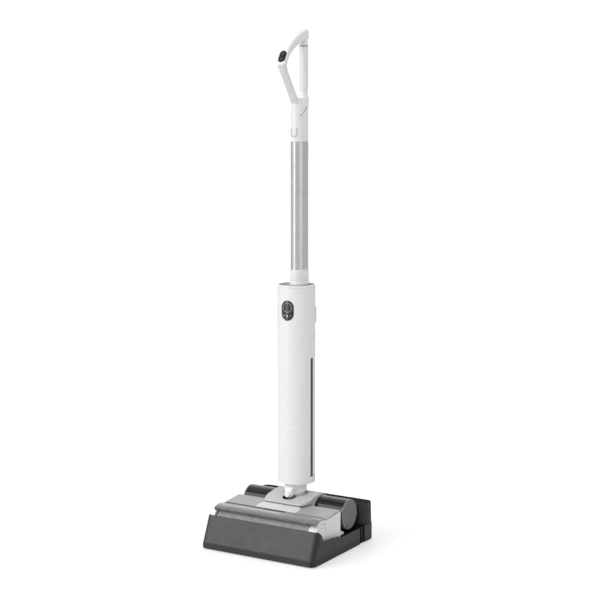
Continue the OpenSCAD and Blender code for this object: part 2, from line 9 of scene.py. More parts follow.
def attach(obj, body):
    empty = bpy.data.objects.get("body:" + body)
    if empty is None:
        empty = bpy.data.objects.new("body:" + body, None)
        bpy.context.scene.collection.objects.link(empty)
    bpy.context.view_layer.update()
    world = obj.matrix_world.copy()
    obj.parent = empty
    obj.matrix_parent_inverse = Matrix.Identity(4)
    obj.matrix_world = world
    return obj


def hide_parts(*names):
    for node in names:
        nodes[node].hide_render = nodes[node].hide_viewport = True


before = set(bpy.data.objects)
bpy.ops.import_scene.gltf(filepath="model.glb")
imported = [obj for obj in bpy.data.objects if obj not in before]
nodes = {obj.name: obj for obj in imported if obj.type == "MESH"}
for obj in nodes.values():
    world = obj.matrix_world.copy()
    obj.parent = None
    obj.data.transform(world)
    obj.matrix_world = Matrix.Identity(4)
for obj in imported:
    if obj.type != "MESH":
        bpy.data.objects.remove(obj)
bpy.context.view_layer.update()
MM = 0.001
random.seed(11)

# axes and centres of the machine, in millimetres
ROLLER_Y, ROLLER_Z = -74.5, 49
CANISTER_Y, CANISTER_Z = 45, 72
COLLAR_Y, ROLL_Z = 33, 106.4
BODY_Y, WAND_Y, GRIP_Y = 34, 47, 64.1
SIDES = ((1, "right"), (-1, "left"))


def linked(name, data):
    """A new object in the scene that carries the data."""
    o = bpy.data.objects.new(name, data)
    bpy.context.scene.collection.objects.link(o)
    return o


# ---------------------------------------------------------------- camera
azimuth, pitch = math.radians(31.23), math.radians(7.11)
back = Vector((math.sin(azimuth) * math.cos(pitch), -math.cos(azimuth) * math.cos(pitch), math.sin(pitch)))
cam_data = bpy.data.cameras.new("camera")
cam_data.lens = 85.16
cam_data.clip_end = 100
cam = linked("camera", cam_data)
cam.location = (1.5673, -2.5358, 0.9022)
cam.rotation_mode = "QUATERNION"
cam.rotation_quaternion = (-back).to_track_quat("-Z", "Y")
bpy.context.scene.camera = cam


# ---------------------------------------------------------------- materials
def srgb(v):
    """Grey level or hex colour to linear RGBA."""
    if isinstance(v, (int, float)):
        c = [v / 255] * 3
    else:
        c = [int(v[i:i + 2], 16) / 255 for i in (1, 3, 5)]
    return [x / 12.92 if x <= 0.04045 else ((x + 0.055) / 1.055) ** 2.4 for x in c] + [1.0]


def tint(col, k):
    """A colour made lighter or darker by a factor."""
    return [min(1.0, x * k) for x in col[:3]] + [1.0]


# the Mix node's sockets for colours, which share their names with its other sockets
MIX_A, MIX_B, MIX_OUT = 6, 7, 2


class Mat:
    """A Principled material with small helpers for its procedural detail."""

    def __init__(self, name, **sockets):
        self.m = bpy.data.materials.new(name)
        self.m.use_nodes = True
        self.t = self.m.node_tree
        self.b = self.t.nodes["Principled BSDF"]
        self.coord = self.t.nodes.new("ShaderNodeTexCoord").outputs["Object"]
        self.height = None
        for k, v in sockets.items():
            self.b.inputs[k.replace("_", " ")].default_value = v

    def new(self, kind, **props):
        n = self.t.nodes.new(kind)
        for k, v in props.items():
            setattr(n, k, v)
        return n

    def link(self, a, b):
        self.t.links.new(a, b)

    def mapped(self, scale):
        n = self.new("ShaderNodeMapping")
        n.inputs["Scale"].default_value = scale
        self.link(self.coord, n.inputs["Vector"])
        return n.outputs["Vector"]

    def noise(self, scale, detail=3, rough=0.5, stretch=(1, 1, 1)):
        n = self.new("ShaderNodeTexNoise")
        n.inputs["Scale"].default_value = scale
        n.inputs["Detail"].default_value = detail
        n.inputs["Roughness"].default_value = rough
        self.link(self.mapped(stretch), n.inputs["Vector"])
        return n.outputs["Fac"]

    def cells(self, scale):
        n = self.new("ShaderNodeTexVoronoi")
        n.inputs["Scale"].default_value = scale
        self.link(self.mapped((1, 1, 1)), n.inputs["Vector"])
        return n.outputs["Distance"]

    def ramp(self, fac, a, b, lo=0.3, hi=0.7):
        """From a to b, each a number or a colour, as the factor goes from lo to hi."""
        n = self.new("ShaderNodeValToRGB")
        for element, position, value in zip(n.color_ramp.elements, (lo, hi), (a, b)):
            element.position = position
            element.color = value if hasattr(value, "__len__") else (value, value, value, 1)
        self.link(fac, n.inputs["Fac"])
        return n.outputs["Color"]

    def times(self, a, b):
        """The product of two colours."""
        n = self.new("ShaderNodeMix", data_type="RGBA", blend_type="MULTIPLY")
        n.inputs[0].default_value = 1.0
        self.link(a, n.inputs[MIX_A])
        self.link(b, n.inputs[MIX_B])
        return n.outputs[MIX_OUT]

    def painted_corner_shade(self):
        """Painted shade at upright corners: nearly 1 where the surface turns half-way between two upright walls, 0.7
        on the walls themselves.
        """
        normal = self.new("ShaderNodeTexCoord").outputs["Normal"]
        n = self.new("ShaderNodeVectorMath", operation="ABSOLUTE")
        self.link(normal, n.inputs[0])
        d = self.new("ShaderNodeVectorMath", operation="DOT_PRODUCT")
        self.link(n.outputs["Vector"], d.inputs[0])
        d.inputs[1].default_value = (0.7071, 0.7071, 0)
        return d.outputs["Value"]

    def along(self, axis, lo, hi):
        """From 0 to 1 between two places on an axis, in metres."""
        n = self.new("ShaderNodeSeparateXYZ")
        self.link(self.coord, n.inputs[0])
        r = self.new("ShaderNodeMapRange")
        r.inputs["From Min"].default_value = lo
        r.inputs["From Max"].default_value = hi
        self.link(n.outputs[axis], r.inputs["Value"])
        return r.outputs["Result"]

    def colour(self, out):
        self.link(out, self.b.inputs["Base Color"])

    def rough(self, out):
        self.link(out, self.b.inputs["Roughness"])

    def coat(self, weight, rough):
        self.b.inputs["Coat Weight"].default_value = weight
        self.b.inputs["Coat Roughness"].default_value = rough

    def bump(self, out, strength, distance):
        """Adds relief on top of what is there. The distance is in metres."""
        n = self.new("ShaderNodeBump")
        n.inputs["Strength"].default_value = strength
        n.inputs["Distance"].default_value = distance
        self.link(out, n.inputs["Height"])
        if self.height is not None:
            self.link(self.height, n.inputs["Normal"])
        self.height = n.outputs["Normal"]
        self.link(self.height, self.b.inputs["Normal"])


# noise scales of plastic: its tone, its gloss, its pores and its fine dust, and the relief of the last two in metres
TONE_SCALE, GLOSS_SCALE, PORE_SCALE, DUST_SCALE = 14, 55, 1900, 900
PORE_DEPTH, DUST_DEPTH = 0.00012, 0.0001
# where the painted corner shade starts to darken a wall, and where it is darkest
PAINTED_SHADE_START, PAINTED_SHADE_FULL = 0.8, 0.97


def plastic(name, grey, rough=0.35, grain=0.15, spread=0.03, coat=0.0, painted_corner_shade=1.0, **extra):
    """Moulded plastic: faint tone drift, fine spark-eroded grain and uneven gloss. Upright corners may carry painted
    shade.
    """
    col = srgb(grey)
    m = Mat(name, Metallic=0.0, **extra)
    tone = m.ramp(m.noise(TONE_SCALE, 4), tint(col, 1 - spread), tint(col, 1 + spread))
    # painted shade: upright corners are darkened in the colour
    if painted_corner_shade < 1:
        tone = m.times(tone, m.ramp(m.painted_corner_shade(), 1.0, painted_corner_shade, PAINTED_SHADE_START, PAINTED_SHADE_FULL))
    m.colour(tone)
    m.rough(m.ramp(m.noise(GLOSS_SCALE, 5, 0.65), rough * 0.86, min(1, rough * 1.14)))
    if coat:
        m.coat(coat, 0.12)
    if grain:
        m.bump(m.cells(PORE_SCALE), grain, PORE_DEPTH)
        m.bump(m.noise(DUST_SCALE, 2), grain, DUST_DEPTH)
    return m.m


def metal(name, grey, rough=0.3, brushed=(1, 1, 1)):
    """Metal with fine drawn lines and uneven anodising. A small last number in brushed draws the lines along Z."""
    col = srgb(grey)
    m = Mat(name, Metallic=1.0)
    m.colour(m.ramp(m.noise(30, 4), tint(col, 0.95), tint(col, 1.04)))
    line = m.noise(1500, 4, 0.6, brushed)
    m.rough(m.ramp(line, rough * 0.8, rough * 1.25))
    m.bump(line, 0.12, 0.00008)
    return m.m


# name, grey level or colour, roughness, grain, spread of the tone
WHITE = plastic("white_gloss", 240, 0.3, 0.05, 0.005, coat=0.3)
WHITE_SATIN = plastic("white_satin", 236, 0.42, 0.1, 0.008)
GREY = plastic("grey_satin", 155, 0.42, 0.16, 0.02)
LIGHT_GREY = plastic("light_grey_satin", 208, 0.4, 0.14, 0.02)
MID_GREY = plastic("mid_grey", 112, 0.42, 0.16, 0.04)
# painted shade: the dock's tray is darkened at its upright corners
DOCK = plastic("dock_grain_painted_corner_shade", 62, 0.52, 0.4, 0.04, painted_corner_shade=0.16)
# the rear housing is darker plastic, darkened further with painted shade
DOCK_DARK = plastic("dock_dark_grain_painted_shade", 38, 0.46, 0.35, 0.05)
BLACK = plastic("black_satin", 30, 0.4, 0.22, 0.08)
RUBBER = plastic("rubber", 26, 0.72, 0.5, 0.12)
STEEL = metal("steel", 170, 0.32)
BRASS = metal("contact_brass", "#caa24c", 0.28)
TUBE = metal("anodised_tube", 222, 0.34, (1, 1, 0.02))
BOARD = plastic("circuit_board", "#2d6a3c", 0.45, 0.1, 0.1)
CELL = plastic("battery_wrap", "#3e7cae", 0.3, 0.05, 0.05, coat=0.4)
# painted shade: the dock's lowest band is darkened at its upright corners
DOCK_BAND = plastic("dock_band_grain_painted_corner_shade", 50, 0.5, 0.4, 0.04, painted_corner_shade=0.3)
SADDLE = plastic("saddle_satin", 186, 0.42, 0.14, 0.015)
TONGUE = plastic("tongue_satin", 203, 0.36, 0.12, 0.015)
CAP_GREY = plastic("cap_grey", 128, 0.42, 0.16, 0.03)
HALO = plastic("halo_grey", 132, 0.3, 0.05, 0.03)
DIAL = plastic("dial_dark", 46, 0.25, 0.0, 0.05, coat=0.5)
GLYPH = plastic("glyph_white", 225, 0.4, 0.0, 0.02)
# painted shade: the rear housing's top faces are darker still
TOWER_TOP_SHADE = plastic("tower_top_painted_shade", 26, 0.85, 0.3, 0.08, Specular_IOR_Level=0.12)
PANEL = plastic("panel_black", 7, 0.3, 0.05, 0.1, Specular_IOR_Level=0.15)
RIM = plastic("rim_grey", 128, 0.3, 0.1, 0.04, coat=0.5)
SLOT = plastic("slot_black", 5, 0.7, 0.1, 0.1, Specular_IOR_Level=0.08)
DISPLAY = plastic("display_glass", 8, 0.08, 0.0, 0.1, coat=1.0)


def smoke_material(name, alpha, low, high, coat, specular):
    """Smoky clear plastic, its tone between two grey levels."""
    m = Mat(name, Roughness=0.06, Alpha=alpha, Specular_IOR_Level=specular)
    m.coat(coat, 0.04)
    m.colour(m.ramp(m.noise(22, 4), srgb(low), srgb(high)))
    return m.m


def clear_material():
    """The roller window's plastic, with painted shade: dark at its front edge, light towards the cover."""
    m = Mat("window_clear", Roughness=0.08, Alpha=0.58)
    m.coat(1.0, 0.03)
    # painted shade: darker towards the front edge, lighter towards the cover
    shade = m.ramp(m.along("Y", -0.101, -0.066), srgb(72), srgb(186), 0.0, 1.0)
    m.colour(m.times(shade, m.ramp(m.noise(18, 3), 0.95, 1.0)))
    return m.m


def felt_material():
    """Mottled felt: fine fibres over broader patches."""
    m = Mat("roller_felt", Roughness=0.95)
    m.b.inputs["Sheen Weight"].default_value = 0.35
    m.b.inputs["Sheen Roughness"].default_value = 0.5
    fibres = m.noise(420, 6, 0.75, (0.5, 1, 1))
    patches = m.noise(90, 3)
    mix = m.new("ShaderNodeMix", data_type="FLOAT")
    mix.inputs[0].default_value = 0.12
    m.link(fibres, mix.inputs[2])
    m.link(patches, mix.inputs[3])
    m.colour(m.ramp(mix.outputs[0], srgb(118), srgb(184), 0.36, 0.66))
    m.bump(fibres, 0.8, 0.0012)
    m.bump(m.cells(1300), 0.5, 0.0005)
    return m.m


SMOKE = smoke_material("smoke_clear", 0.8, 14, 24, 1.0, 0.5)
SMOKE_DARK = smoke_material("smoke_dark", 0.94, 6, 12, 0.15, 0.3)
CLEAR = clear_material()
FELT = felt_material()

look = {
    "dock_tray": DOCK, "dock_rear_housing": DOCK_DARK, "dock_base_plate": BLACK, "dock_feet": RUBBER,
    "dock_screws": STEEL, "dock_contact_block": BLACK, "dock_contact_pins": BRASS,
    "dock_circuit_board": BOARD, "dock_power_inlet": BLACK,
    "head_chassis": WHITE_SATIN, "head_top_cover": GREY, "cover_tongue": WHITE_SATIN, "window_latch": MID_GREY,
    "roller_window": CLEAR, "roller_core": BLACK, "roller_sleeve": FELT, "roller_drive_dog": STEEL,
    "roller_motor": STEEL, "roller_end_cap": WHITE_SATIN, "spray_bar": MID_GREY, "squeegee": RUBBER,
    "pivot_hub": MID_GREY, "wheel_left": RUBBER, "wheel_right": RUBBER, "wheel_axles": STEEL,
    "head_contacts": BRASS, "canister_left": SMOKE_DARK, "canister_right": SMOKE_DARK,
    "canister_cap_left": MID_GREY, "canister_cap_right": MID_GREY,
    "canister_filter_left": MID_GREY, "canister_filter_right": MID_GREY,
    "yoke_saddle": LIGHT_GREY, "roll_pin": WHITE, "neck_collar": WHITE,
    "body_lower_ring": WHITE, "body_front_shell": WHITE, "body_top_cap": WHITE,
    "display_panel": DISPLAY, "display_ring": LIGHT_GREY, "exhaust_grille": GREY,
    "suction_motor": STEEL, "suction_impeller": BLACK, "battery_pack": CELL, "main_board": BOARD,
    "water_pump": MID_GREY, "air_duct": MID_GREY, "clean_tank_shell": SMOKE, "clean_tank_back": WHITE,
    "clean_tank_cap": WHITE, "tank_plug": RUBBER, "tank_latch": LIGHT_GREY,
    "wand_lower_collar": WHITE, "wand_tube": TUBE, "handle_frame": WHITE, "handle_grip": WHITE_SATIN,
    "handle_panel": PANEL, "power_button": PANEL, "mode_button": PANEL, "handle_release_button": WHITE,
}
for name, o in nodes.items():
    o.data.materials.clear()
    o.data.materials.append(look[name])


# ---------------------------------------------------------------- mesh helpers
# these stand a flat outline up: (u, v) becomes (y, z), or (x, z)
YZ = Matrix(((0, 0, 1, 0), (1, 0, 0, 0), (0, 1, 0, 0), (0, 0, 0, 1)))
XZ = Matrix(((1, 0, 0, 0), (0, 0, -1, 0), (0, 1, 0, 0), (0, 0, 0, 1)))
# vertices nearer than this, in metres, are welded
WELD = 1e-6


def add(name, mesh, material, body, replaces=()):
    """Links a mesh as a piece, with its material, its body and the CAD nodes it stands for."""
    o = linked(name, mesh)
    mesh.materials.clear()
    mesh.materials.append(material)
    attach(o, body)
    if replaces:
        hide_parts(*replaces)


def from_bmesh(name, bm):
    """A mesh from a bmesh, which is freed."""
    mesh = bpy.data.meshes.new(name)
    bm.to_mesh(mesh)
    bm.free()
    return mesh


def settled(o):
    """The mesh of an object with its modifiers or curve settings applied. The object is removed."""
    bpy.context.view_layer.update()
    mesh = bpy.data.meshes.new_from_object(o.evaluated_get(bpy.context.evaluated_depsgraph_get()))
    bpy.data.objects.remove(o)
    return mesh


def smooth(mesh, angle=38):
    """Smooth shading, with edges sharper than the angle in degrees left hard."""
    mesh.shade_smooth()
    mesh.set_sharp_from_angle(angle=math.radians(angle))


def fillet(points, radius, steps=5):
    """Rounds the corners of a closed outline. A point may carry its own radius as a third value."""
    out = []
    n = len(points)
    for i in range(n):
        p = Vector(points[i][:2])
        a = Vector(points[i - 1][:2]) - p
        b = Vector(points[(i + 1) % n][:2]) - p
        r = points[i][2] if len(points[i]) > 2 else radius
        angle = a.angle(b) if a.length and b.length else math.pi
        cut = min(r / max(math.tan(angle / 2), 1e-6), a.length * 0.49, b.length * 0.49)
        if r <= 0 or angle > 3.1:
            out.append((p.x, p.y))
            continue
        p0, p1 = p + a.normalized() * cut, p + b.normalized() * cut
        for k in range(steps + 1):
            t = k / steps
            q = p0 * (1 - t) ** 2 + p * 2 * t * (1 - t) + p1 * t ** 2
            out.append((q.x, q.y))
    return out


def smooth_loop(points, steps=6):
    """A closed smooth curve through the points."""
    out = []
    n = len(points)
    for i in range(n):
        p0, p1, p2, p3 = (Vector(points[(i + k) % n][:2]) for k in (-1, 0, 1, 2))
        for k in range(steps):
            t = k / steps
            q = 0.5 * (2 * p1 + (p2 - p0) * t + (2 * p0 - 5 * p1 + 4 * p2 - p3) * t * t
                       + (3 * p1 - p0 - 3 * p2 + p3) * t ** 3)
            out.append((q.x, q.y))
    return out


def plate_mesh(name, loop, thickness, bevel, matrix, steps):
    """A flat part cut to its outline, with rounded rims. Sizes in millimetres."""
    curve = bpy.data.curves.new(name, "CURVE")
    curve.dimensions = "2D"
    curve.fill_mode = "BOTH"
    curve.extrude = (thickness / 2 - bevel) * MM
    curve.bevel_depth = bevel * MM
    curve.bevel_resolution = steps
    curve.offset = -bevel * MM
    s = curve.splines.new("POLY")
    s.points.add(len(loop) - 1)
    for point, (u, v) in zip(s.points, loop):
        point.co = (u * MM, v * MM, 0, 1)
    s.use_cyclic_u = True
    mesh = settled(linked(name + "_curve", curve))
    bpy.data.curves.remove(curve)
    mesh.name = name
    mesh.transform(matrix)
    bm = bmesh.new()
    bm.from_mesh(mesh)
    bmesh.ops.remove_doubles(bm, verts=bm.verts, dist=WELD)
    bmesh.ops.recalc_face_normals(bm, faces=bm.faces)
    bm.to_mesh(mesh)
    bm.free()
    smooth(mesh)
    return mesh


def at(x=0, y=0, z=0):
    return Matrix.Translation((x * MM, y * MM, z * MM))


def turned(name, loop, centre, axis="Z", start=0, end=360, steps=96):
    """Turns a closed outline of (radius, along) points about an axis, all round or part of the way."""
    bm = bmesh.new()
    full = abs(end - start) >= 360
    count = steps if full else steps + 1
    rings = []
    for i in range(count):
        a = math.radians(start + (end - start) * i / steps)
        ring = []
        for r, h in loop:
            c, s = r * math.cos(a), r * math.sin(a)
            p = {"Z": (c, s, h), "X": (h, c, s), "Y": (s, h, c)}[axis]
            ring.append(bm.verts.new([(p[k] + centre[k]) * MM for k in range(3)]))
        rings.append(ring)
    n = len(loop)
    for i in range(count if full else count - 1):
        a, b = rings[i], rings[(i + 1) % count]
        for k in range(n):
            bm.faces.new((a[k], a[(k + 1) % n], b[(k + 1) % n], b[k]))
    if not full:
        bm.faces.new(rings[0])
        bm.faces.new(rings[-1])
    bmesh.ops.remove_doubles(bm, verts=bm.verts, dist=WELD)
    bmesh.ops.recalc_face_normals(bm, faces=bm.faces)
    mesh = from_bmesh(name, bm)
    smooth(mesh)
    return mesh


def modified(mesh, *mods):
    """Applies modifiers, each given as (kind, {property: value}), and returns the new mesh."""
    o = linked("work", mesh)
    for kind, props in mods:
        m = o.modifiers.new(kind, kind)
        for k, v in props.items():
            setattr(m, k, v)
    return settled(o)


def carved(piece, tool, sharp):
    """Cuts a mesh out of a piece, and returns the piece's new mesh. Edges beyond the sharp angle stay hard."""
    cutter = linked("cutter", tool)
    o = bpy.data.objects[piece]
    o.data = modified(o.data.copy(), ("BOOLEAN", {"operation": "DIFFERENCE", "object": cutter, "solver": "EXACT"}))
    bpy.data.objects.remove(cutter)
    smooth(o.data, sharp)
    return o.data


def moulded(name, source, voxel, passes, keep=0.4):
    """A copy of a CAD node or mesh with its edges melted round, as moulded plastic has them.

    The voxel size is in millimetres, passes says how often it is smoothed, and keep is the share of faces kept."""
    mesh = nodes[source].data.copy() if isinstance(source, str) else source
    out = modified(mesh, ("REMESH", {"mode": "VOXEL", "voxel_size": voxel * MM, "use_smooth_shade": True}),
                   ("SMOOTH", {"factor": 0.5, "iterations": passes}), ("DECIMATE", {"ratio": keep}))
    out.name = name
    out.shade_smooth()
    return out


def joined(name, *meshes):
    """One mesh out of several."""
    bm = bmesh.new()
    for m in meshes:
        bm.from_mesh(m)
    return from_bmesh(name, bm)


def bridged(mesh):
    """Closes the ring-shaped gap between the two open ends of a skin."""
    bm = bmesh.new()
    bm.from_mesh(mesh)
    bmesh.ops.bridge_loops(bm, edges=[e for e in bm.edges if e.is_boundary])
    bm.to_mesh(mesh)
    bm.free()
    return mesh


def box_mesh(name, lo_mm, hi_mm, bevel):
    """A box between two corners, with bevelled edges. Sizes in millimetres."""
    bm = bmesh.new()
    bmesh.ops.create_cube(bm, size=1)
    for v in bm.verts:
        v.co = [(lo_mm[k] + (hi_mm[k] - lo_mm[k]) * (v.co[k] + 0.5)) * MM for k in range(3)]
    out = modified(from_bmesh(name, bm), ("BEVEL", {"width": bevel * MM, "segments": 2, "limit_method": "ANGLE",
                                                    "angle_limit": math.radians(35)}))
    smooth(out, 60)
    return out


def cone_mesh(name, segments, low, high, depth, centre):
    """An upright frustum with its lower and upper radius, its height and its middle in millimetres."""
    bm = bmesh.new()
    bmesh.ops.create_cone(bm, cap_ends=True, segments=segments, radius1=low * MM, radius2=high * MM,
                          depth=depth * MM)
    bmesh.ops.translate(bm, verts=bm.verts, vec=[c * MM for c in centre])
    return from_bmesh(name, bm)


def pill_loop(w, h, cx=0, cy=0, steps=14):
    """An upright pill of width w and height h."""
    out = []
    for i in range(steps + 1):
        a = math.pi * i / steps
        out.append((cx + w / 2 * math.cos(a), cy + (h - w) / 2 + w / 2 * math.sin(a)))
    for i in range(steps + 1):
        a = math.pi + math.pi * i / steps
        out.append((cx + w / 2 * math.cos(a), cy - (h - w) / 2 + w / 2 * math.sin(a)))
    return out


def circle_loop(r, cx=0, cy=0, steps=40):
    return [(cx + r * math.cos(2 * math.pi * i / steps), cy + r * math.sin(2 * math.pi * i / steps))
            for i in range(steps)]


def wand_ring(r, half, z, steps=16):
    """A section of the wand at a height: two half circles of radius r, half apart from its middle."""
    turns = [(r * math.cos(math.pi * i / steps), r * math.sin(math.pi * i / steps)) for i in range(steps + 1)]
    return ([(x, WAND_Y + half + y, z) for x, y in turns]
            + [(-x, WAND_Y - half - y, z) for x, y in turns])


def lofted(name, sections, close=True):
    """A skin over closed sections of equal length, each a list of 3-D points in millimetres."""
    bm = bmesh.new()
    rings = [[bm.verts.new([c * MM for c in p]) for p in s] for s in sections]
    n = len(rings[0])
    for a, b in zip(rings, rings[1:]):
        for k in range(n):
            bm.faces.new((a[k], a[(k + 1) % n], b[(k + 1) % n], b[k]))
    if close:
        bm.faces.new(rings[0])
        bm.faces.new(rings[-1])
    bmesh.ops.recalc_face_normals(bm, faces=bm.faces)
    mesh = from_bmesh(name, bm)
    smooth(mesh)
    return mesh


def tube(name, points, radius, closed=False):
    """A round bead along a path in millimetres, its ends closed."""
    curve = bpy.data.curves.new(name, "CURVE")
    curve.dimensions = "3D"
    curve.bevel_depth = radius * MM
    curve.bevel_resolution = 3
    curve.use_fill_caps = True
    s = curve.splines.new("POLY")
    s.points.add(len(points) - 1)
    for point, q in zip(s.points, points):
        point.co = (q[0] * MM, q[1] * MM, q[2] * MM, 1)
    s.use_cyclic_u = closed
    mesh = settled(linked(name + "_curve", curve))
    bpy.data.curves.remove(curve)
    mesh.name = name
    smooth(mesh, 60)
    return mesh


def arc(cy, cz, r, a0, a1, x, steps=40):
    """Points on an arc in a plane across the X axis, angles in degrees from +Y towards +Z."""
    out = []
    for i in range(steps + 1):
        a = math.radians(a0 + (a1 - a0) * i / steps)
        out.append((x, cy + r * math.cos(a), cz + r * math.sin(a)))
    return out


# ---------------------------------------------------------------- handle
# the loop's outline seen from the side, as (y, z): up its front strut, over the top, and down inside
handle_outline = [
    (30, 885), (28, 925), (27.4, 938), (20, 949.6), (8, 967), (-6, 986.6), (-20, 1006.2), (-28, 1018),
    (-29.6, 1021.5), (-28.6, 1026), (-21, 1039.5), (-14, 1051), (-6, 1060), (5, 1069.5), (17, 1078.5),
    (32, 1086.8), (48, 1093.3), (59, 1097.6), (66, 1099.8), (71, 1098.4), (73.3, 1093), (73.4, 1086),
    (73.2, 1079), (70, 1077.6), (63.5, 1076.9), (55, 1074.4), (46.9, 1070.8), (36.5, 1065.5),
    (26.3, 1061.0), (10, 1051.0), (-4.2, 1038.2), (-11.2, 1027.5), (-13.6, 1020), (-11.5, 1011.5),
    (-4.4, 1000.5), (5.5, 986.5), (15.2, 972.8), (23.5, 961.6), (30, 954.8), (38, 951.6), (46, 951.6),
    (56, 954.6), (66, 958.4), (72.6, 958), (73.5, 953), (73.2, 942), (70.5, 926), (65, 905), (64, 885)]
loop_mesh = plate_mesh("handle_loop", smooth_loop(handle_outline, 5), 18.2, 4.6, YZ, 5)
neck = lofted("handle_neck", [wand_ring(14.6, 7.4, 862.4), wand_ring(15.0, 7.4, 863.2), wand_ring(15.0, 7.4, 922),
                              wand_ring(13.8, 8.6, 934), wand_ring(10.5, 11.5, 946), wand_ring(7.0, 13, 955)])
core = turned("grip_core", fillet([(0.01, 948), (8.7, 948), (8.7, 1084), (0.01, 1084)], 0.5), (0, GRIP_Y, 0),
              steps=48)
handle_mesh = moulded("handle", joined("handle_parts", loop_mesh, neck, core), 0.8, 6, keep=0.5)
# the top of the loop is rounder at its rims, which drop by up to ROUNDING
TOP_START, HALF_THICK, ROUNDING = 1.058, 0.0091, 0.0014
for v in handle_mesh.vertices:
    if v.co.z > TOP_START and v.co.y > -0.004:
        rise = min(1.0, (v.co.z - TOP_START) / 0.02)
        rim = abs(v.co.x) / HALF_THICK
        v.co.z -= ROUNDING * rise * rim ** 3
add("handle_shell", handle_mesh, WHITE, "handle", ["handle_frame"])
grip = turned("grip", fillet([(0.01, 970), (8.9, 970), (9.4, 972), (9.4, 1060), (8.9, 1062), (0.01, 1062)], 0.9),
              (0, GRIP_Y, 0), steps=72)
add("handle_grip_sleeve", grip, WHITE_SATIN, "handle", ["handle_grip"])
ring = turned("grip_ring", circle_loop(1.0, 8.6, 1063.2, 12), (0, GRIP_Y, 0), steps=72)
add("grip_ring", ring, MID_GREY, "handle")
u_seam = [(-6.6, 24.35, 892), (-6.6, 24.35, 880)]
u_seam += [(6.6 * math.sin(math.radians(a)), 23.95 + 0.4 * math.sin(math.radians(a)) ** 2,
            880 - 6.6 * math.cos(math.radians(a))) for a in range(-80, 81, 10)]
u_seam += [(6.6, 24.35, 880), (6.6, 24.35, 892)]
add("release_seam", tube("release_seam", u_seam, 0.42), GREY, "handle")
for side, label in reversed(SIDES):
    cut = [(side * 11.3, 30, 917), (side * 13.7, 34.5, 920.4), (side * 14.5, 42, 926.6),
           (side * 13.9, 50, 932.4), (side * 13.0, 56, 936.6)]
    add("handle_groove_" + label, tube("groove", cut, 0.75), MID_GREY, "handle")


# ---------------------------------------------------------------- moulded housings
housings = [
    # piece, node, body, slot, material, voxel, smoothing passes
    ("dock_shell", "dock_tray", "dock", "dock_plastic", DOCK, 1.0, 5),
    ("dock_tower", "dock_rear_housing", "dock", "dock_dark_plastic", DOCK_DARK, 1.0, 4),
    ("saddle_shell", "yoke_saddle", "yoke", "white_plastic", SADDLE, 0.8, 4),
    ("head_cover_shell", "head_top_cover", "head", "grey_plastic", GREY, 0.8, 3),
    ("head_side_frame", "head_chassis", "head", "grey_plastic", WHITE_SATIN, 0.8, 3),
    ("neck_knuckle", "neck_collar", "upright", "white_plastic", WHITE, 0.6, 5),
    ("body_cap", "body_top_cap", "upright", "white_plastic", WHITE, 0.6, 3),
    ("tank_back_shell", "clean_tank_back", "clean_tank", "white_plastic", WHITE, 0.8, 3),
    ("wand_socket", "wand_lower_collar", "upright", "white_plastic", WHITE, 0.6, 3),
]
for piece, node, body, slot, material, voxel, passes in housings:
    add(piece, moulded(piece, node, voxel, passes), material, body, [node])


# ---------------------------------------------------------------- saddle, neck and pocket
def half_width(y):
    """Half of the saddle's plan width, in millimetres, at a place along the machine."""
    return float(np.interp(y, [-25, -24, -22, -18, -12, 0, 14, 90], [33, 40.5, 45.5, 49, 51, 54.2, 55, 55]))


# the saddle is widened outside the strip that carries the neck
STRIP, SEAT_FLOOR = 18, 97.4
for v in bpy.data.objects["saddle_shell"].data.vertices:
    y = v.co.y / MM
    if y < 12 and abs(v.co.x) > STRIP * MM:
        old = 45 + (54 - 45) * (y + 25) / 37
        edge = (abs(v.co.x) / MM - STRIP) / (old - STRIP)
        v.co.x = math.copysign((STRIP + (half_width(y) - STRIP) * edge) * MM, v.co.x)

# the pocket for the neck's ear, its walls and floor painted black as shade
saddle = carved("saddle_shell", cone_mesh("pocket", 64, 14.5, 17.5, 30, (0, 5.5, 112.4)), 50)
saddle.materials.clear()
saddle.materials.append(SADDLE)
saddle.materials.append(BLACK)
# painted shade: the pocket's walls and floor take the black material
for f in saddle.polygons:
    c = f.center / MM
    reach = math.hypot(c.x, c.y - 5.5)
    wall = 14.5 + 3 * (c.z - SEAT_FLOOR) / 30
    if c.z > 97 and (abs(reach - wall) < 0.35 or (reach < 14.4 and abs(c.z - SEAT_FLOOR) < 0.3)):
        f.material_index = 1

# a deeper seat for the collar, the lug that carries the roll pin, and a plug in the hollow under the skirt
carved("saddle_shell", cone_mesh("seat", 96, 25.6, 25.6, 20, (0, COLLAR_Y, 112)), 50)
lug = plate_mesh("lug", pill_loop(15, 22, 0, ROLL_Z), 10, 1.2, at(0, 19, 0) @ XZ, 3)
add("saddle_lug", lug, SADDLE, "yoke")
plug = turned("seat_plug", fillet([(0.01, 101), (18.6, 101), (18.6, 112.5), (0.01, 112.5)], 1.0), (0, COLLAR_Y, 0))
add("saddle_plug", plug, WHITE, "yoke")

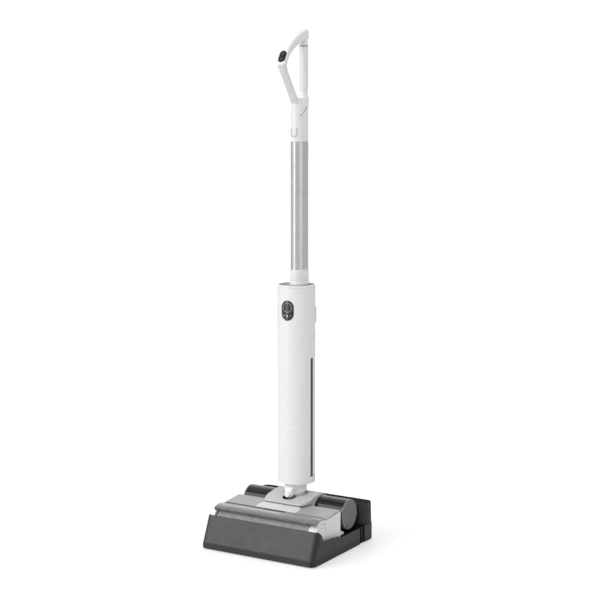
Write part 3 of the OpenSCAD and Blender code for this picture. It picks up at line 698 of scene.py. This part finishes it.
# the collar's skirt: cut higher at the sides, so that it clears the saddle as it rolls by 20 degrees.
# Each ring is a radius and a height, above the floor or, for the lower rim, above the cut.
SKIRT_STEPS, SIN_ROLL, COS_ROLL = 96, 0.342, 0.94
rings = []
for r, z, on_cut in [(24.0, 132.0, 0), (24.0, 129, 0), (23.5, 125, 0), (23.1, 120, 0), (23.0, 116, 0),
                     (22.8, 0.9, 1), (22.2, 0.1, 1), (21.2, 0.1, 1), (20.6, 0.9, 1), (20.4, 116, 0),
                     (20.4, 122, 0), (20.4, 132, 0)]:
    ring = []
    for i in range(SKIRT_STEPS):
        a = 2 * math.pi * i / SKIRT_STEPS
        low = 110 + (-7.2 + 22.8 * abs(math.cos(a)) * SIN_ROLL) / COS_ROLL
        ring.append((r * math.cos(a), COLLAR_Y + r * math.sin(a), low + z if on_cut else max(z, low + 1.6)))
    rings.append(ring)
skirt = bridged(lofted("neck_skirt", rings, close=False))
disc = turned("neck_disc", fillet([(0.01, 123), (22, 123), (22, 131.8), (0.01, 131.8)], 0.5), (0, COLLAR_Y, 0))
# the ear in front of the collar, as sections of height, half width, front and rear
rows = []
for z, w, front, rear in [(101.4, 3, -0.5, 9), (102.2, 5.4, -2.6, 11), (104, 7.4, -3.6, 12.6),
                          (107, 8.7, -4, 13.2), (111, 9, -4, 13.3), (116, 9.2, -3.4, 13.3),
                          (121, 10.4, -1.0, 13.3), (126, 12.4, 3.2, 16), (131.8, 15, 9.2, 20)]:
    mid, half = (front + rear) / 2, (rear - front) / 2
    r = min(w, half) * 0.72
    loop = fillet([(-w, mid - half), (w, mid - half), (w, mid + half), (-w, mid + half)], r, 6)
    rows.append([(x, y, z) for x, y in loop])
ear = lofted("ear", rows)
knuckle = moulded("knuckle", joined("knuckle_parts", skirt, disc, ear), 0.6, 6, keep=0.6)
bpy.data.objects["neck_knuckle"].data = knuckle
knuckle.materials.clear()
knuckle.materials.append(WHITE)


# ---------------------------------------------------------------- window, roller and side details
window = moulded("window", "roller_window", 0.55, 2)
add("window_strip", window, CLEAR, "window", ["roller_window"])
window.materials.append(WHITE_SATIN)
for f in window.polygons:
    c = f.center / MM
    if abs(c.x) > 125.2 and math.hypot(c.y - ROLLER_Y, c.z - ROLLER_Z) < 38.2:
        f.material_index = 1
for side, label in SIDES:
    rim = arc(ROLLER_Y, ROLLER_Z, 39.3, 66, 124, side * 127.4, 30)
    add("window_rim_" + label, tube("rim", rim, 0.75), MID_GREY, "window")
# the window's lower edge as a dark bead: partly the edge itself, partly painted shadow of the gap above the roller
front = [(-124 + 248 * i / 24, -95.0, 81.3) for i in range(25)]
add("window_front_shadow_bead", tube("bead", front, 0.9), SMOKE, "window")
# the cover's front seam: dark as far as the window's latch, fainter beyond it
for label, x0, x1, steps, radius, tone in (("left", -123, 27.5, 20, 0.75, BLACK),
                                           ("right", 28.5, 123, 14, 0.5, MID_GREY)):
    seam = [(x, -57.4, 87.9) for x in np.linspace(x0, x1, steps)]
    add("cover_seam_" + label, tube("seam", seam, radius), tone, "head")

# felt: a dense sleeve whose pile stands unevenly
PILE_ROWS, PILE_STEPS = 190, 150
PILE_LEFT, PILE_RIGHT, PILE_LENGTH, PILE_BORE = -120.4, 106.9, 227.3, 22.1
rows = []
for i in range(PILE_ROWS):
    x = PILE_LEFT + PILE_LENGTH * i / (PILE_ROWS - 1)
    ring = []
    for k in range(PILE_STEPS):
        a = 2 * math.pi * k / PILE_STEPS
        tuft = 0.42 * math.sin(k * 2.1 + i * 0.9) * math.sin(i * 1.7 + k * 0.35) + random.uniform(-0.32, 0.12)
        edge = min(1.0, min(i, PILE_ROWS - 1 - i) / 3)
        r = 28.9 - 1.1 * (1 - edge) ** 2 + tuft * 0.55 * edge
        ring.append((x, ROLLER_Y + r * math.cos(a), ROLLER_Z + r * math.sin(a)))
    rows.append(ring)
for x in (PILE_RIGHT, PILE_LEFT):
    rows.append([(x, ROLLER_Y + PILE_BORE * math.cos(2 * math.pi * k / PILE_STEPS),
                  ROLLER_Z + PILE_BORE * math.sin(2 * math.pi * k / PILE_STEPS)) for k in range(PILE_STEPS)])
pile = bridged(lofted("pile", rows, close=False))
pile.shade_smooth()
add("roller_pile", pile, FELT, "roller", ["roller_sleeve"])

# sides of the head: the roller cover's seam, the cradle of the canister, and the canister's rim and pin
CRADLE_STEPS = 20
cradle_section = ((112, 33.0), (125.4, 33.0), (126.2, 33.6), (126.2, 35.6), (125.4, 36.2), (112, 36.2))
for side, label in SIDES:
    end_seam = [(side * 127.9, y, z)
                for y, z in ((-66, 79), (-62.4, 76), (-59.8, 70.5), (-58.8, 63), (-58.6, 45), (-58.6, 30))]
    add("end_seam_" + label, tube("end_seam", end_seam, 0.32), MID_GREY, "head")
    cradle = []
    for i in range(CRADLE_STEPS + 1):
        a = math.radians(182 + 48 * i / CRADLE_STEPS)
        cradle.append([(side * x, CANISTER_Y + r * math.cos(a), CANISTER_Z + r * math.sin(a))
                       for x, r in cradle_section])
    add("cradle_" + label, lofted("cradle", cradle), BLACK, "head")
    ring = turned("canister_rim", circle_loop(0.85, 30.9, side * 125.5, 12), (0, CANISTER_Y, CANISTER_Z), "X")
    body = label + "_canister"
    add("canister_rim_" + label, ring, RIM, body)
    eye_section = [(0.01, side * 125.2), (2.2, side * 125.2), (2.2, side * 126.1), (1.5, side * 126.1),
                   (1.5, side * 125.7), (0.01, side * 125.7)]
    eye = turned("canister_eye", fillet(eye_section, 0.15), (0, 34.4, 51.6), "X", steps=40)
    add("canister_eye_" + label, eye, BLACK, body)

# two slots down each side of the dock, with a ridge between them
SLOTS = ((66.8, 76.0), (79.4, 87.0))
cuts, liners = [], []
for side in (1, -1):
    for y0, y1 in SLOTS:
        cuts.append(box_mesh("cut", (side * 139 - 1.6, y0, -1), (side * 139 + 1.6, y1, 39.5), 0.8))
        liners.append(box_mesh("liner", (side * 137 - 1.0, y0 - 1, 2.6), (side * 137 + 1.0, y1 + 1, 37.2), 0.5))
bpy.data.objects["dock_shell"].data.materials.append(DOCK_BAND)
bpy.data.objects["dock_shell"].data.materials.append(SLOT)
shell = carved("dock_shell", joined("slot_cuts", *cuts), 45)
add("dock_slot_liners", joined("slot_liners", *liners), SLOT, "dock")

# the dock's lowest band ends on a clean line, and the slots' inner faces are black
BAND_TOP = 17
bm = bmesh.new()
bm.from_mesh(shell)
bmesh.ops.bisect_plane(bm, geom=bm.verts[:] + bm.edges[:] + bm.faces[:], plane_co=(0, 0, BAND_TOP * MM),
                       plane_no=(0, 0, 1))
for f in bm.faces:
    c = f.calc_center_median() / MM
    slotted = 137.2 < abs(c.x) < 139.9 and any(y0 - 0.1 < c.y < y1 + 0.1 for y0, y1 in SLOTS)
    f.material_index = 2 if slotted else 1 if c.z < BAND_TOP else 0
bm.to_mesh(shell)
bm.free()

# the rear housing flares a little where it meets the tray, and its top is painted darker as shade
FLARE, FLARE_START, FLARE_HEIGHT = 0.0014, 0.038, 0.047
tower = bpy.data.objects["dock_tower"].data
tower.materials.append(TOWER_TOP_SHADE)
for v in tower.vertices:
    if abs(v.co.x) > 0.12 and v.co.z > 0.0375:
        v.co.x += math.copysign(FLARE * (1 - (v.co.z - FLARE_START) / FLARE_HEIGHT), v.co.x)
for f in tower.polygons:
    if f.normal.z > 0.75 and f.center.z > 0.082:
        f.material_index = 1

# the dish in the body's top
cap = bpy.data.objects["body_cap"].data
cap.materials.append(CAP_GREY)
for f in cap.polygons:
    if f.normal.z > 0.35 and math.hypot(f.center.x, f.center.y - 0.034) < 0.0388:
        f.material_index = 1


# ---------------------------------------------------------------- tongue and side tabs
def rounded(s):
    """How high a rounded edge still stands at a share s of the way from the middle to the rim."""
    return 1.0 if s < 0.9 else math.sqrt(max(0.0, 1 - ((s - 0.9) / 0.1) ** 2))


def cover_z(y):
    """Height of the cover's top at a place along the machine, in millimetres."""
    return 86.9 + (y + 57.9) * 0.0825


# the tongue is lofted from its middle outwards, and rounds off over the last tenth
plan = fillet([(-48.5, -24.6), (-52.5, -38), (-51, -53.6, 10), (51, -53.6, 10), (52.5, -38), (48.5, -24.6)], 5, 8)
TONGUE_Y = -39
rows = []
for s in (0.02, 0.3, 0.6, 0.8, 0.9, 0.94, 0.965, 0.985, 0.996, 1.0, 1.0):
    row = []
    for x, y in plan:
        px, py = x * s, TONGUE_Y + (y - TONGUE_Y) * s
        thick = float(np.interp(py, [-54, -46, -36, -24], [1.0, 1.9, 2.5, 3.4]))
        edge = rounded(s)
        row.append((px, py, cover_z(py) + thick * edge - (0.6 if s == 1.0 else 0)))
    rows.append(row)
rows[-1] = [(x, y, cover_z(y) - 1.2) for x, y in plan]
add("tongue", lofted("tongue", rows), TONGUE, "head", ["cover_tongue"])
tab_outline = fillet([(-8, 36), (16, 36), (18.5, 38.5), (15, 42.4), (4, 44.6), (-8, 44.6)], 1.4)
for side, label in SIDES:
    tab = plate_mesh("tab", tab_outline, 5, 0.9, at(side * 125.3, 0, 0) @ YZ, 3)
    add("side_tab_" + label, tab, WHITE_SATIN, "head")


# ---------------------------------------------------------------- display, vent and notch on the body
def on_body(u, z, r):
    """A point wrapped on the body: u runs to the right round it from the front, in millimetres."""
    a = u / 40.4
    return (r * math.sin(a), BODY_Y - r * math.cos(a), z)


def wrapped(name, loop, r, proud, cu, cz):
    """A raised pad wrapped on the body with a rounded edge, from an outline of (u, z) about its middle."""
    rows = []
    for s in (0.02, 0.2, 0.4, 0.6, 0.8, 0.9, 0.95, 0.985, 1.0, 1.0):
        drop = 1 - rounded(s)
        rows.append([on_body(cu + u * s, cz + z * s, r + proud * (1 - drop)) for u, z in loop])
    rows[-1] = [on_body(cu + u, cz + z, r - 0.5) for u, z in loop]
    return lofted(name, rows)


# middle of the display, and how far above it the dial sits
CU, CZ, DIAL_UP = 2.4, 508.6, 6.2
add("display_lens", wrapped("lens", pill_loop(28.6, 43.2), 40.5, 0.6, CU, CZ), DISPLAY, "upright",
    ["display_panel"])
add("display_dial", wrapped("dial", circle_loop(6.8), 41.05, 0.22, CU, CZ + DIAL_UP), DIAL, "upright")
ring = [on_body(CU + 9.8 * math.cos(a), CZ + DIAL_UP + 9.8 * math.sin(a), 41.0)
        for a in np.linspace(0, 2 * math.pi, 60)]
add("display_halo", tube("halo", ring[:-1], 1.15, True), HALO, "upright", ["display_ring"])
# three plain symbols: place across, place down, outline
glyphs = [
    (-7.6, -10.6, [(0, 2.2), (1.3, 0.2), (1.2, -1.2), (0, -1.9), (-1.2, -1.2), (-1.3, 0.2)]),
    (0.0, -11.5, [(-1.5, 1.7), (1.5, 1.7), (1.5, -1.9), (-1.5, -1.9)]),
    (7.6, -10.6, [(0.9, 2.1), (-1.3, -0.3), (-0.1, -0.3), (-0.7, -2.1), (1.4, 0.4), (0.2, 0.4)])]
for k, (u, down, loop) in enumerate(glyphs):
    shape = wrapped("glyph", fillet(loop, 0.4, 3), 41.0, 0.25, CU + u, CZ + down)
    add("display_glyph_%d" % k, shape, GLYPH, "upright")
vent_section = [(40.2, 477.5, 0.3), (42.6, 479.5), (42.9, 484), (42.9, 508), (42.6, 512.5), (40.2, 514.5, 0.3)]
vent = turned("vent", fillet(vent_section, 1.2), (0, BODY_Y, 0), "Z", 22, 158, 90)
add("vent_band", vent, WHITE_SATIN, "upright", ["exhaust_grille"])
for k in range(7):
    z = 483 + 4.3 * k
    slit = [(43.0 * math.cos(a), BODY_Y + 43.0 * math.sin(a), z) for a in np.radians(np.linspace(62, 118, 40))]
    add("vent_slit_%d" % k, tube("slit", slit, 0.8), SLOT, "upright")
for side, label in SIDES:
    notch = [(side * 40.6 * math.cos(a), BODY_Y + 40.6 * math.sin(a), 451.6 + 4.6 * t)
             for t, a in ((k / 8, math.radians(38 + 24 * k / 8)) for k in range(9))]
    add("tank_notch_" + label, tube("notch", notch, 0.9), SLOT, "upright")


# ---------------------------------------------------------------- handle panel marks
# the panel's middle in metres, the way it faces, and the way up it
panel_mid = Vector((0, -0.0214, 1.038))
panel_out = Vector((0, -0.8725, 0.4886))
panel_up = Vector((0, 0.4886, 0.8725))
recess = Matrix(((1, 0, 0, 0), (0, panel_up.y, panel_out.y, panel_mid.y), (0, panel_up.z, panel_out.z, panel_mid.z),
                 (0, 0, 0, 1)))
carved("handle_shell", plate_mesh("recess", pill_loop(15.9, 27.9), 7.2, 0.3, recess, 2), 50)
# a ring on each button, open at its top on the power button, which has a stroke there
for node, body, height, radius, span in (("power_button", "power", 6.4, 2.7, (30, 330)),
                                         ("mode_button", "mode", -6.4, 2.2, (0, 360))):
    top = max(v.co.dot(panel_out) for v in nodes[node].data.vertices)
    mid = panel_mid + panel_up * height * MM
    mid += panel_out * (top - mid.dot(panel_out) + 0.00005)
    mark = [(mid + (Vector((1, 0, 0)) * math.sin(a) + panel_up * math.cos(a)) * radius * MM) / MM
            for a in np.radians(np.linspace(span[0], span[1], 36))]
    add(node + "_mark", tube("mark", mark, 0.34), RIM, body)
    if body == "power":
        bar = [(mid + panel_up * q * MM) / MM for q in (0.6, 3.2)]
        add("power_stroke", tube("bar", bar, 0.34), RIM, body)


# ---------------------------------------------------------------- floor and light
bm = bmesh.new()
bmesh.ops.create_grid(bm, x_segments=2, y_segments=2, size=14)
floor = linked("floor", from_bmesh("floor", bm))
floor_paint = Mat("floor_paint", Roughness=0.6)
floor_paint.colour(floor_paint.ramp(floor_paint.noise(3, 3), srgb(186), srgb(188)))
# the floor glows a little for the camera alone, so that it fades into the white background
floor_ray = floor_paint.new("ShaderNodeLightPath")
glow = floor_paint.new("ShaderNodeMapRange")
glow.inputs["To Max"].default_value = 0.5
floor_paint.link(floor_ray.outputs["Is Camera Ray"], glow.inputs["Value"])
floor_paint.link(glow.outputs["Result"], floor_paint.b.inputs["Emission Strength"])
floor_paint.b.inputs["Emission Color"].default_value = (1, 1, 1, 1)
floor.data.materials.append(floor_paint.m)

# the world is white to the camera and dimmer as a light
world = bpy.data.worlds.new("studio")
bpy.context.scene.world = world
world.use_nodes = True
wt = world.node_tree
path = wt.nodes.new("ShaderNodeLightPath")
level = wt.nodes.new("ShaderNodeMapRange")
level.inputs["To Min"].default_value = 0.5
level.inputs["To Max"].default_value = 1.05
wt.links.new(path.outputs["Is Camera Ray"], level.inputs["Value"])
wt.links.new(level.outputs["Result"], wt.nodes["Background"].inputs["Strength"])
wt.nodes["Background"].inputs["Color"].default_value = (1, 1, 1, 1)
bpy.context.scene.view_settings.view_transform = "Standard"


def lamp(name, kind, loc, aim, energy, **props):
    """A light at a place in metres, turned to a point."""
    d = bpy.data.lights.new(name, kind)
    d.energy = energy
    for k, v in props.items():
        setattr(d, k, v)
    o = linked(name, d)
    o.location = loc
    o.rotation_mode = "QUATERNION"
    o.rotation_quaternion = (Vector(aim) - Vector(loc)).to_track_quat("-Z", "Y")
    return o


lamp("sky_soft", "SUN", (-0.4, -0.5, 3), (0, 0, 0), 1.0, angle=math.radians(110))
lamp("key_soft", "SUN", (-0.95, -1.35, 1.15), (0, 0, 0), 1.22, angle=math.radians(40))
# this one is seen in reflections only
rear = lamp("rear_strip", "AREA", (-1.5, 2.2, 1.2), (0, 0, 0.3), 7, shape="RECTANGLE", size=1.4, size_y=1.8)
rear.visible_diffuse = False
rear.visible_camera = False
rear.visible_transmission = False
lamp("window_strip", "AREA", (-1.25, -2.4, 1.0), (0, 0, 0.55), 8, shape="RECTANGLE", size=0.5, size_y=2.0)
lamp("right_fill", "SUN", (1.7, -0.1, 0.7), (0, 0, 0), 0.5, angle=math.radians(60))
